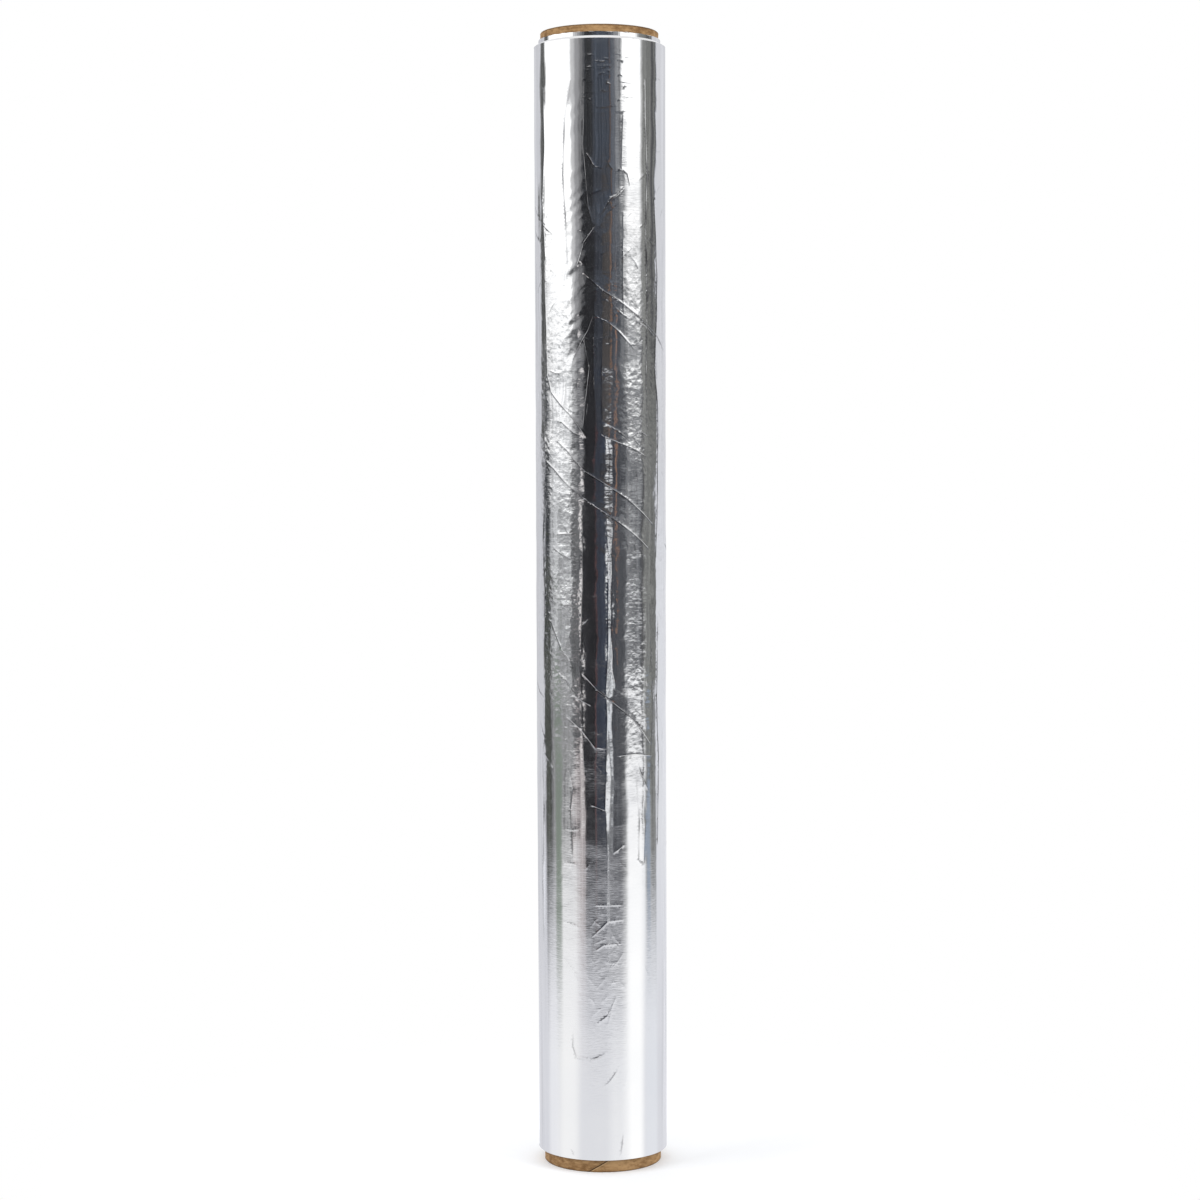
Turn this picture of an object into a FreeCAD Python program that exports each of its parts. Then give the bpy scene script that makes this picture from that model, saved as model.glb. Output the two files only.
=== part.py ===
import FreeCAD, Part
import math
import os

# A household roll of aluminium foil that stands on end. Sizes are in mm and angles in degrees.
# The origin is the middle of the core's lower end, +Z is up, and the front of the roll faces -Y.
# An azimuth is counted from the front towards +X.

# Cardboard core
core_radius = 16.0
core_wall = 1.5
core_end_rounding = 0.3
core_below_foil = 3.7
core_above_foil = 3.95

# Butt seam of the core's outermost paper ply, which winds round the tube as a right-hand helix
ply_lead = 58.0
ply_seam_azimuth = -15.2
ply_seam_width = 0.5
ply_seam_depth = 0.22

# Wound foil
foil_width = 300.0
foil_build_top = 1.8
foil_build_bottom = 1.65
winding_clearance = 0.02

# The inner turns stand proud of the outer ones at the top, and are as far recessed at the bottom
collar_build = 0.5
collar_rise = 1.0
bevel_rise = 0.8

# The edges of the turns that show on the two bevels, drawn as one fine spiral groove on each
turn_pitch = 0.22
turn_groove_width = 0.12
turn_groove_depth = 0.06

# Free edge of the outermost turn, which ends the sheet at the back
tail_azimuth = 166.0
tail_step = 0.12

# Creases that stand out from the outermost turn, with their root a little inside it
crease_height = 0.14
crease_width = 0.9
crease_root = 0.25
crease_tip_share = 0.12
crease_section_turn = 6.0

# Each crease runs from one azimuth and share of the foil's width to another, and is as high as its last
# value says, as a share of crease_height
front_creases = [
    (-15, 0.793, 74, 0.728, 1.0),
    (-5, 0.756, 30, 0.727, 0.7),
    (-22, 0.734, -5, 0.756, 0.5),
    (-21, 0.799, -4, 0.835, 0.4),
    (8, 0.856, 22, 0.867, 0.4),
    (-52, 0.685, -11, 0.648, 0.9),
    (-1, 0.665, 22, 0.649, 0.5),
    (1, 0.650, 44, 0.632, 0.7),
    (-42, 0.646, -15, 0.620, 0.8),
    (-14, 0.620, 52, 0.571, 1.0),
    (-60, 0.630, -14, 0.594, 0.8),
    (-13, 0.593, 47, 0.549, 1.0),
    (-52, 0.484, -26, 0.449, 0.5),
    (-43, 0.442, -6, 0.410, 0.6),
    (-17, 0.439, 48, 0.375, 1.0),
    (-34, 0.400, -5, 0.371, 0.5),
    (-9, 0.320, 5, 0.315, 0.4),
    (36, 0.343, 45, 0.327, 0.5),
    (-8, 0.203, 20, 0.216, 0.5),
    (-2, 0.123, 13, 0.147, 0.5),
    (-11, 0.735, -13, 0.665, 0.4),
    (6.5, 0.571, 6, 0.410, 0.6),
]
back_creases = [
    (96, 0.842, 131, 0.812, 0.7),
    (104, 0.705, 152, 0.655, 0.9),
    (98, 0.520, 139, 0.482, 0.7),
    (188, 0.742, 246, 0.690, 1.0),
    (201, 0.611, 262, 0.560, 0.8),
    (182, 0.410, 231, 0.372, 0.8),
    (118, 0.301, 150, 0.276, 0.6),
    (214, 0.246, 268, 0.199, 0.7),
    (107, 0.164, 142, 0.142, 0.5),
]

# How far a cutter reaches past what it cuts, and the points on each turn of a spiral
cutter_overrun = 2.0
points_per_turn = 12

# Values that the sizes above settle
core_length = core_below_foil + foil_width + core_above_foil
bore_radius = core_radius - core_wall
foil_bottom = core_below_foil
foil_top = foil_bottom + foil_width
foil_bore_radius = core_radius + winding_clearance
foil_radius_top = core_radius + foil_build_top
foil_radius_bottom = core_radius + foil_build_bottom
collar_radius = core_radius + collar_build


def polar(azimuth, radius, height):
    angle = math.radians(azimuth)
    return FreeCAD.Vector(radius * math.sin(angle), -radius * math.cos(angle), height)


def closed_wire(points):
    return Part.makePolygon(points + points[:1])


def revolved(profile):
    """Turns a closed outline of (radius, height) points about the roll's axis."""
    points = [FreeCAD.Vector(radius, 0, height) for radius, height in profile]
    face = Part.Face(closed_wire(points))
    return face.revolve(FreeCAD.Vector(0, 0, 0), FreeCAD.Vector(0, 0, 1), 360)


def swept_upright(path, profile):
    """Carries a closed profile along a path and keeps it upright all the way."""
    sweep = Part.BRepOffsetAPI.MakePipeShell(path)
    sweep.setBiNormalMode(FreeCAD.Vector(0, 0, 1))
    sweep.add(profile)
    sweep.build()
    sweep.makeSolid()
    return sweep.shape()


def core_tube():
    """The tube, with both cut ends softened on their inner and outer edges."""
    soft = min(core_end_rounding, 0.45 * core_wall)
    return revolved([
        (bore_radius, soft),
        (bore_radius + soft, 0),
        (core_radius - soft, 0),
        (core_radius, soft),
        (core_radius, core_length - soft),
        (core_radius - soft, core_length),
        (bore_radius + soft, core_length),
        (bore_radius, core_length - soft),
    ])


def ply_seam():
    """A shallow V along the seam, from below the lower end to above the upper one, in half turns."""
    length = core_length + 2 * cutter_overrun
    count = math.ceil(2 * length / ply_lead)
    rise = length / count
    half_turns = []
    for index in range(count):
        height = rise * index - cutter_overrun
        azimuth = ply_seam_azimuth + 360 * height / ply_lead
        helix = Part.makeHelix(ply_lead, rise, core_radius)
        helix.rotate(FreeCAD.Vector(0, 0, 0), FreeCAD.Vector(0, 0, 1), azimuth - 90)
        helix.translate(FreeCAD.Vector(0, 0, height))
        profile = closed_wire([
            polar(azimuth, core_radius - ply_seam_depth, height),
            polar(azimuth, core_radius + ply_seam_depth, height - ply_seam_width),
            polar(azimuth, core_radius + ply_seam_depth, height + ply_seam_width),
        ])
        half_turns.append(swept_upright(helix, profile))
    return half_turns


def cardboard_core():
    return core_tube().cut(ply_seam())


def tapered_cylinder(outside, offset):
    """The wound foil as a plain upright cone, moved sideways towards the free edge by an offset."""
    height = foil_width + bevel_rise + collar_rise
    top_radius = outside + (foil_radius_top - foil_radius_bottom) * height / foil_width
    return Part.makeCone(outside, top_radius, height, polar(tail_azimuth, offset, foil_bottom))


def plain_winding():
    """The foil before its ends are shaped. The last quarter turn lifts away to its free edge."""
    last_turn = tapered_cylinder(foil_radius_bottom, tail_step)
    side = foil_radius_top + tail_step + cutter_overrun
    beside_tail = Part.makeBox(side, side, core_length)
    beside_tail.rotate(FreeCAD.Vector(0, 0, 0), FreeCAD.Vector(0, 0, 1), tail_azimuth - 90)
    return tapered_cylinder(foil_radius_bottom, 0).fuse(last_turn.common(beside_tail))


def top_cutter():
    """What is cut away outside the collar and above the bevel."""
    reach = foil_radius_top + tail_step + cutter_overrun
    slope = bevel_rise / (foil_radius_top - collar_radius)
    ceiling = foil_top + bevel_rise + collar_rise + cutter_overrun
    return revolved([
        (collar_radius, foil_top + bevel_rise),
        (reach, foil_top - slope * (reach - foil_radius_top)),
        (reach, ceiling),
        (collar_radius, ceiling),
    ])


def bottom_cutter():
    """What is cut away under the bevel and inside the collar's recess."""
    inside = foil_bore_radius - cutter_overrun
    floor = foil_bottom - cutter_overrun
    shelf = foil_bottom + bevel_rise + collar_rise
    return revolved([
        (inside, shelf),
        (collar_radius, shelf),
        (collar_radius, foil_bottom + bevel_rise),
        (foil_radius_bottom, foil_bottom),
        (foil_radius_bottom, floor),
        (inside, floor),
    ])


def crease(start_azimuth, start_share, end_azimuth, end_share, strength):
    """A ridge that follows the outermost turn and dies away at both ends."""
    turn = end_azimuth - start_azimuth
    climb = foil_width * (end_share - start_share)
    steps = max(2, math.ceil(abs(turn) / crease_section_turn))
    across = math.hypot(foil_radius_top * math.radians(turn), climb)
    side_turn = -math.degrees(climb / across * crease_width / 2 / foil_radius_top)
    side_climb = foil_radius_top * math.radians(turn) / across * crease_width / 2
    sections = []
    for step in range(steps + 1):
        along = step / steps
        azimuth = start_azimuth + turn * along
        height = foil_bottom + foil_width * start_share + climb * along
        share = (height - foil_bottom) / foil_width
        surface = foil_radius_bottom + (foil_radius_top - foil_radius_bottom) * share
        wave = math.sin(math.pi * (crease_tip_share + (1 - 2 * crease_tip_share) * along))
        sections.append(closed_wire([
            polar(azimuth - side_turn, surface - crease_root, height - side_climb),
            polar(azimuth, surface + crease_height * strength * wave, height),
            polar(azimuth + side_turn, surface - crease_root, height + side_climb),
        ]))
    return Part.makeLoft(sections, True, False)


def turn_groove(height, outside_radius, outward):
    """One fine V that winds over a bevel, a turn at each turn_pitch. It opens up or down by outward's sign."""
    run = outside_radius - collar_radius
    turns = max(1, math.floor(run / turn_pitch) - 1)
    slope = bevel_rise / run
    steps = points_per_turn * turns
    points = []
    for step in range(steps + 1):
        inward = turn_pitch * (0.5 + turns * step / steps)
        azimuth = 360 * turns * step / steps
        points.append(polar(azimuth, outside_radius - inward, height + slope * inward))
    curve = Part.BSplineCurve()
    curve.interpolate(points)
    start_radius = outside_radius - turn_pitch / 2
    start_height = height + slope * turn_pitch / 2
    depth = turn_groove_depth * outward
    profile = closed_wire([
        polar(0, start_radius, start_height - depth),
        polar(0, start_radius - turn_groove_width / 2, start_height + depth),
        polar(0, start_radius + turn_groove_width / 2, start_height + depth),
    ])
    return swept_upright(Part.Wire([curve.toShape()]), profile)


def foil_roll():
    winding = plain_winding().cut(top_cutter()).cut(bottom_cutter())
    winding = winding.fuse([crease(*values) for values in front_creases + back_creases])
    winding = winding.cut(turn_groove(foil_top, foil_radius_top, 1))
    winding = winding.cut(turn_groove(foil_bottom, foil_radius_bottom, -1))
    return winding.cut(Part.makeCylinder(foil_bore_radius, core_length))


def export(node, shape):
    shape.exportStep("parts/" + node + ".step")
    print(node, shape.ShapeType, len(shape.Solids), shape.isValid(), round(shape.Volume, 1))


os.makedirs("parts", exist_ok=True)
export("cardboard_core", cardboard_core())
export("foil_roll", foil_roll())
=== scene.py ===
import bpy
import math
import random
import numpy as np
from mathutils import Matrix, Vector, kdtree, noise
from mathutils.geometry import delaunay_2d_cdt


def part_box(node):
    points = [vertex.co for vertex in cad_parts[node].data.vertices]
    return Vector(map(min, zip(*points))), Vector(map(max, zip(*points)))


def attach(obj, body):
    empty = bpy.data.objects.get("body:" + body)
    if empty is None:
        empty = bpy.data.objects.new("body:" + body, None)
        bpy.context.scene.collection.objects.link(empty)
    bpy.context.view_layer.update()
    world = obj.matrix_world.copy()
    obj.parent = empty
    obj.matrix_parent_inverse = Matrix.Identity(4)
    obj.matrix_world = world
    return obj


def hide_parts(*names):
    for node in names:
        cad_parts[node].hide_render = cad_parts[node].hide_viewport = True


# An upright roll of aluminium foil on a cardboard core.
# Meshes are worked out in mm and degrees, and stored in metres.
# An azimuth is counted from the front, which faces -Y, towards +X.
mm = 0.001

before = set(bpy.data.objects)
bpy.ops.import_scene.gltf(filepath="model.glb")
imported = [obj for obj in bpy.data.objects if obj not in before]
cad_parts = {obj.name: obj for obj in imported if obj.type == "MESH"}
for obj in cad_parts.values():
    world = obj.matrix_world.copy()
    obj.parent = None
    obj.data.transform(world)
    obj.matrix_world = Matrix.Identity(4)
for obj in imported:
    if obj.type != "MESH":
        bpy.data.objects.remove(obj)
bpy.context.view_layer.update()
foilLow, foilHigh = (Vector(corner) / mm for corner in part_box("foil_roll"))
coreLow, coreHigh = (Vector(corner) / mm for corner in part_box("cardboard_core"))
coreRadius = (coreHigh.x - coreLow.x) / 2
coreLength = coreHigh.z - coreLow.z


# Shader wiring

class Link:
    # one shader socket that takes part in sums
    def __init__(self, tree, socket=None):
        self.tree = tree
        self.socket = socket

    def node(self, kind, settings=None, sockets=None, out=0):
        made = self.tree.nodes.new(kind)
        for name, value in (settings or {}).items():
            setattr(made, name, value)
        for name, value in (sockets or {}).items():
            if isinstance(value, Link):
                self.tree.links.new(value.socket, made.inputs[name])
            else:
                made.inputs[name].default_value = value
        return Link(self.tree, made.outputs[out] if made.outputs else None)

    def maths(self, operation, first, second=0.0):
        return self.node("ShaderNodeMath", {"operation": operation}, {0: first, 1: second})

    def __add__(self, other):
        return self.maths("ADD", self, other)

    def __radd__(self, other):
        return self.maths("ADD", other, self)

    def __sub__(self, other):
        return self.maths("SUBTRACT", self, other)

    def __rsub__(self, other):
        return self.maths("SUBTRACT", other, self)

    def __mul__(self, other):
        return self.maths("MULTIPLY", self, other)

    def __rmul__(self, other):
        return self.maths("MULTIPLY", other, self)

    def __truediv__(self, other):
        return self.maths("DIVIDE", self, other)

    def rise(self, low, high):
        # soft step from 0 at low to 1 at high
        return self.node("ShaderNodeMapRange", {"interpolation_type": "SMOOTHSTEP"},
                         {"Value": self, "From Min": low, "From Max": high})

    def between(self, low, high, soft):
        return self.rise(low - soft, low + soft) * (1 - self.rise(high - soft, high + soft))

    def blend(self, first, second):
        # first where this mask is 0, second where it is 1
        return self.node("ShaderNodeMix", {"data_type": "RGBA"},
                         {"Factor": self, 6: first, 7: second}, out=2)

    def stretched(self, x, y, z):
        return self.node("ShaderNodeVectorMath", {"operation": "MULTIPLY"}, {0: self, 1: (x, y, z)})

    def parts(self):
        split = self.node("ShaderNodeSeparateXYZ", None, {0: self})
        outputs = split.socket.node.outputs
        return Link(self.tree, outputs[0]), Link(self.tree, outputs[1]), Link(self.tree, outputs[2])

    def speckle(self, scale, detail=3.0, roughness=0.5):
        return self.node("ShaderNodeTexNoise", None,
                         {"Vector": self, "Scale": scale, "Detail": detail, "Roughness": roughness})


def newMaterial(name):
    material = bpy.data.materials.new(name)
    material.use_nodes = True
    tree = material.node_tree
    tree.nodes.clear()
    return material, Link(tree)


def finishMaterial(start, shader):
    start.node("ShaderNodeOutputMaterial", None, {"Surface": shader})


def addObject(name, points, faces, material, smooth=True):
    mesh = bpy.data.meshes.new(name)
    mesh.from_pydata([Vector(point) * mm for point in points], [], faces)
    mesh.materials.append(material)
    mesh.polygons.foreach_set("use_smooth", [smooth] * len(mesh.polygons))
    mesh.update()
    made = bpy.data.objects.new(name, mesh)
    bpy.context.scene.collection.objects.link(made)
    return made


def polar(azimuth, radius, height):
    angle = math.radians(azimuth)
    return (radius * math.sin(angle), -radius * math.cos(angle), height)


# Studio: a white surround for the eye, and dark and bright panels that only the gloss sees

studio = {
    "floorSize": 6.0,
    "floorWhite": (0.83, 0.84, 0.86),
    "floorGlow": 0.235,
    "whiteFrom": (0.03, 0.16),
    # where the floor's painted shadow lies and how deep it is
    "shadeFrom": (0.04, 0.11),
    "shadeDepth": 0.034,
    "shadeLean": 0.7,
    "shadeLevel": 0.86,
    "plainLight": 0.80,
    "streakTurns": 0.45,
    "streakSlopes": 11.0,
    "streakRange": (3.4, 0.7),
    "behindFrom": (120, 150),
    "behindUneven": 0.4,
    "softboxes": {"left_softbox": (-0.9, -0.5, 0.6), "right_softbox": (0.9, -0.5, 0.6)},
    "softboxSize": (0.5, 0.8),
    "softboxPower": 5.0,
    "aimHeight": 0.15,
    "wall": (0.60, 0.605, 0.645, 1),
}

# what only the gloss sees, by direction: from and to azimuth, from and to slope, softness of sides
# and ends, colour. The first ones are dim and get streaks
panels = {
    "room": (-116, 114, -9, 0.27, 4, 0.09, (0.036, 0.039, 0.048)),
    "roomHigh": (-116, 114, 0.085, 0.60, 4, 0.05, (0.064, 0.068, 0.080)),
    "roomLow": (-116, 114, -9, -0.10, 4, 0.04, (0.056, 0.058, 0.066)),
    "leftDarkHigh": (-129, -112, 0.0, 0.30, 3, 0.04, (0.11, 0.112, 0.11)),
    "leftDarkLow": (-117, -101, -0.16, -0.035, 4, 0.025, (0.070, 0.075, 0.066)),
    "leftShelfTop": (-107, -50, 0.008, 0.07, 5, 0.025, (0.93, 0.935, 0.94)),
    "leftShelf": (-99, -54, -0.032, 0.008, 5, 0.025, (0.70, 0.71, 0.725)),
    "leftShelfLow": (-99, -54, -0.085, -0.03, 5, 0.03, (0.47, 0.475, 0.485)),
    "leftShelfFoot": (-99, -50, -0.20, -0.085, 5, 0.03, (0.27, 0.27, 0.275)),
    "leftGrey": (-53, -40, -0.11, 0.04, 3, 0.03, (0.115, 0.117, 0.122)),
    "leftPink": (-50, -29, -0.24, -0.115, 5, 0.02, (0.42, 0.375, 0.375)),
    "leftBlack": (-30, -10, -0.16, 0.10, 3, 0.03, (0.022, 0.022, 0.025)),
    "leftBlackHigh": (-27, -12, 0.08, 0.60, 3, 0.03, (0.032, 0.033, 0.036)),
    "leftGradientThree": (-38, -29, 0.035, 0.50, 3, 0.03, (0.16, 0.16, 0.165)),
    "middleBlue": (-8, 11, -0.13, 0.0, 2, 0.03, (0.040, 0.047, 0.066)),
    "middleRed": (-10.5, -9, -0.16, 0.01, 0.8, 0.03, (0.11, 0.055, 0.055)),
    "middleBrown": (2, 18, 0.02, 0.11, 2, 0.03, (0.066, 0.060, 0.058)),
    "middleBlueHigh": (-10, 24, 0.11, 0.60, 4, 0.03, (0.062, 0.072, 0.092)),
    "middlePost": (9, 20, -0.15, -0.012, 1, 0.015, (0.15, 0.155, 0.165)),
    "blueGrey": (20, 45, 0.02, 0.60, 3, 0.03, (0.100, 0.108, 0.125)),
    "rightGradient": (35, 47, 0.0, 0.60, 3, 0.04, (0.17, 0.175, 0.185)),
    "rightGradientHigh": (27, 47, 0.125, 0.60, 4, 0.03, (0.27, 0.275, 0.285)),
    "lowGrey": (24, 50, -0.16, 0.0, 5, 0.03, (0.075, 0.078, 0.087)),
    "rightShelfTop": (46, 78, 0.04, 0.09, 5, 0.03, (0.62, 0.625, 0.63)),
    "rightShelf": (46, 78, -0.01, 0.04, 5, 0.03, (0.33, 0.336, 0.346)),
    "rightShelfLow": (46, 74, -0.10, -0.01, 6, 0.04, (0.165, 0.17, 0.18)),
    "rightPost": (78, 90, -0.24, 0.60, 3, 0.05, (0.24, 0.243, 0.236)),
    "rightOlive": (90, 112, -0.24, 0.60, 3, 0.05, (0.20, 0.203, 0.196)),
}
lights = {
    "leftSoftbox": (-112, -51, 0.060, 0.60, 4, 0.035, (1.30, 1.30, 1.30)),
    "leftGradient": (-52, -43, 0.025, 0.50, 3, 0.035, (0.58, 0.58, 0.59)),
    "leftGradientTwo": (-45, -36, 0.040, 0.50, 3, 0.035, (0.32, 0.32, 0.33)),
    "leftPost": (-38, -31, -0.12, 0.0, 1, 0.02, (0.82, 0.79, 0.785)),
    "middleLineOne": (8.8, 13.6, -0.15, -0.010, 0.6, 0.010, (0.90, 0.91, 0.93)),
    "middleLineTwo": (15.6, 19.4, -0.12, -0.010, 0.6, 0.010, (0.76, 0.78, 0.81)),
    "copperTop": (16.6, 18.4, 0.10, 0.17, 0.7, 0.02, (0.13, 0.095, 0.08)),
    "copperHigh": (16.6, 18.4, 0.045, 0.10, 0.7, 0.01, (0.26, 0.155, 0.105)),
    "copperLow": (25.8, 27.6, -0.04, 0.055, 0.7, 0.01, (0.34, 0.19, 0.125)),
    "rightSoftbox": (46, 76, 0.088, 0.60, 5, 0.035, (1.30, 1.30, 1.30)),
    "rightSoftboxHigh": (38, 60, 0.130, 0.60, 3, 0.02, (1.35, 1.35, 1.35)),
    "rightTable": (46, 84, -9, -0.088, 4, 0.034, (0.94, 0.945, 0.96)),
    "rightLine": (76.5, 80, -0.13, 0.06, 1.0, 0.03, (0.09, 0.09, 0.095)),
    "rightLineHigh": (100, 107, 0.03, 0.60, 2.5, 0.03, (0.09, 0.09, 0.095)),
    "leftEdge": (-190, -130, -0.22, 0.25, 5, 0.05, (0.63, 0.635, 0.67)),
    "rightEdge": (119, 190, -0.22, 0.25, 4, 0.05, (0.68, 0.685, 0.72)),
    "rightEdgeLow": (114, 190, -0.22, -0.02, 4, 0.04, (0.77, 0.78, 0.82)),
    "ceiling": (-190, 190, 0.275, 9, 20, 0.09, (0.95, 0.95, 0.96)),
    "tableEdge": (-190, 190, -9, -0.184, 9, 0.045, (0.74, 0.745, 0.79)),
    "tableLeftEdge": (-112, -84, -9, -0.180, 8, 0.045, (0.88, 0.885, 0.92)),
    "tableLeft": (-82, -43, -9, -0.150, 8, 0.035, (0.90, 0.90, 0.91)),
    "tableLeftLow": (-84, -43, -9, -0.195, 16, 0.040, (0.97, 0.97, 0.975)),
    "tableFront": (-43, 42, -9, -0.214, 12, 0.045, (0.81, 0.815, 0.845)),
    "tableMiddle": (14, 46, -9, -0.210, 10, 0.044, (0.90, 0.905, 0.925)),
    "tableRight": (43, 80, -9, -0.145, 12, 0.045, (1.10, 1.10, 1.10)),
    "tableRightEdge": (82, 116, -9, -0.175, 7, 0.045, (0.82, 0.835, 0.88)),
    "leftGreen": (-91, -77, -0.185, -0.10, 3.5, 0.030, (0.21, 0.25, 0.21)),
    "rightBlue": (88, 97, -0.172, -0.115, 3, 0.02, (0.30, 0.35, 0.43)),
}


def painted(colour, azimuth, slope, group):
    for left, right, low, high, side, end, tint in group.values():
        mask = azimuth.between(left, right, side) * slope.between(low, high, end)
        colour = mask.blend(colour, tint + (1,))
    return colour


def makeWorld():
    world = bpy.data.worlds.new("studio")
    bpy.context.scene.world = world
    world.use_nodes = True
    world.node_tree.nodes.clear()
    world.cycles.sampling_method = "NONE"
    start = Link(world.node_tree)
    x, y, z = start.node("ShaderNodeTexCoord").parts()
    azimuth = start.maths("ARCTAN2", x, 0 - y) * (180 / math.pi)
    flat = start.maths("SQRT", x * x + y * y)
    slope = z / start.maths("MAXIMUM", flat, 0.001)
    dim = painted(studio["wall"], azimuth, slope, panels)
    across = start.node("ShaderNodeCombineXYZ", None, {
        0: azimuth * studio["streakTurns"], 1: slope * studio["streakSlopes"]})
    gain, less = studio["streakRange"]
    streaks = gain * across.speckle(1.0, 3, 0.6) - less
    streaked = start.node("ShaderNodeVectorMath", {"operation": "MULTIPLY"}, {0: dim, 1: streaks})
    bright = painted(streaked, azimuth, slope, lights)
    # the light walls behind the roll are a little uneven
    behind = studio["behindUneven"] * start.maths("ABSOLUTE", azimuth).rise(*studio["behindFrom"])
    uneven = 1 - behind + behind * streaks
    bright = start.node("ShaderNodeVectorMath", {"operation": "MULTIPLY"}, {0: bright, 1: uneven})
    path = start.node("ShaderNodeLightPath").socket.node.outputs
    glossy = Link(world.node_tree, path["Is Glossy Ray"])
    seen = start.maths("MAXIMUM", Link(world.node_tree, path["Is Camera Ray"]),
                       Link(world.node_tree, path["Is Transmission Ray"]))
    plain = studio["plainLight"]
    surround = seen.blend((plain, plain, plain, 1), (1, 1, 1, 1))
    colour = glossy.blend(surround, bright)
    light = start.node("ShaderNodeBackground", None, {"Color": colour, "Strength": 1.0})
    start.node("ShaderNodeOutputWorld", None, {"Surface": light})


def makeFloor():
    # white for the eye, with a faint painted shadow in front of the roll and right of it.
    # The gloss sees the world's table in its place
    half = studio["floorSize"] / 2 / mm
    material, start = newMaterial("white_table")
    place = start.node("ShaderNodeTexCoord", None, None, out=3)
    x, y, _ = place.parts()
    reach = start.node("ShaderNodeVectorMath", {"operation": "LENGTH"}, {0: place}, out=1)
    # painted shadow: the floor colour is darker in front of the roll and right of it, fading out further
    # away
    paintedFloorShadow = (x * studio["shadeLean"] - y).rise(0.0, studio["shadeDepth"])
    paintedFloorShadow = paintedFloorShadow * (1 - reach.rise(*studio["shadeFrom"]))
    white = studio["floorWhite"] + (1,)
    paintedShade = tuple(studio["shadeLevel"] * part for part in studio["floorWhite"]) + (1,)
    white = paintedFloorShadow.blend(white, paintedShade)
    matt = start.node("ShaderNodeBsdfDiffuse", None, {"Color": white})
    glow = start.node("ShaderNodeEmission", None, {"Color": (1, 1, 1, 1), "Strength": studio["floorGlow"]})
    lit = start.node("ShaderNodeAddShader", None, {0: matt, 1: glow})
    bright = start.node("ShaderNodeEmission", None, {"Color": (1, 1, 1, 1), "Strength": 1.0})
    far = reach.rise(*studio["whiteFrom"])
    table = start.node("ShaderNodeMixShader", None, {0: far, 1: lit, 2: bright})
    gone = start.node("ShaderNodeBsdfTransparent")
    path = start.node("ShaderNodeLightPath").socket.node.outputs
    glossy = Link(start.tree, path["Is Glossy Ray"])
    finishMaterial(start, start.node("ShaderNodeMixShader", None, {0: glossy, 1: table, 2: gone}))
    corners = [(-half, -half, 0), (half, -half, 0), (half, half, 0), (-half, half, 0)]
    addObject("floor", corners, [(0, 1, 2, 3)], material, smooth=False)


def makeLamp(name, place, size, power):
    lamp = bpy.data.lights.new(name, "AREA")
    lamp.shape = "RECTANGLE"
    lamp.size, lamp.size_y = size
    lamp.energy = power
    made = bpy.data.objects.new(name, lamp)
    made.location = place
    aim = Vector((0, 0, studio["aimHeight"])) - made.location
    made.rotation_euler = aim.to_track_quat("-Z", "Y").to_euler()
    made.visible_glossy = False
    bpy.context.scene.collection.objects.link(made)


# place in metres, turns in radians, lens and sensor in mm
cameraView = {
    "place": (-0.00033, -0.71294, 0.1884),
    "pitch": 0.048,
    "roll": -0.0034,
    "lens": 78.29,
    "sensor": 36.0,
}


def makeCamera():
    data = bpy.data.cameras.new("camera")
    data.lens = cameraView["lens"]
    data.sensor_width = cameraView["sensor"]
    made = bpy.data.objects.new("camera", data)
    tilt = Matrix.Rotation(math.pi / 2 - cameraView["pitch"], 3, "X")
    roll = Matrix.Rotation(cameraView["roll"], 3, "Z")
    made.rotation_euler = (tilt @ roll).to_euler()
    made.location = cameraView["place"]
    bpy.context.scene.collection.objects.link(made)
    bpy.context.scene.camera = made


# Foil

foil = {
    "buildTop": 1.8,
    "buildBottom": 1.65,
    "collarBuild": 0.5,
    "collarRise": 1.0,
    "bevelRise": 0.8,
    "tail": 166.0,
    "tailStep": 0.12,
    "underlap": 12.0,
    "inset": 0.06,
    "edgeRows": (0.08, 0.45),
    # painted shade on the turn below, beside the free edge
    "edgeShade": 0.8,
    "edgeShadeWidth": 0.3,
    "frontMesh": 0.66,
    "backMesh": 1.05,
    "crestMesh": 0.5,
    "crestRows": (-0.5, -0.14, 0.12, 0.5),
    "gridShift": 0.24,
    "gridGap": 0.52,
    "foldHeight": 0.034,
    "foldSide": 0.10,
    "dropSide": 0.13,
    "slackHeight": 0.036,
    "slackSide": 1.6,
    "foldWave": 11.0,
    "foldWaveShare": 0.26,
    "foldTip": 0.06,
    # width and strength of the painted shade at each fold's foot
    "footWidth": 0.20,
    "footShade": (1.9, 0.2),
    "backCreases": 44,
    "sharpFrom": 0.13,
    "fineWrinkles": 400,
    "seed": 11,
}
foilBottom = foilLow.z
foilTop = foilHigh.z - foil["bevelRise"] - foil["collarRise"]
foilWidth = foilTop - foilBottom
sheetRadius = coreRadius + foil["buildTop"]
fullTurn = 2 * math.pi * sheetRadius

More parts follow.
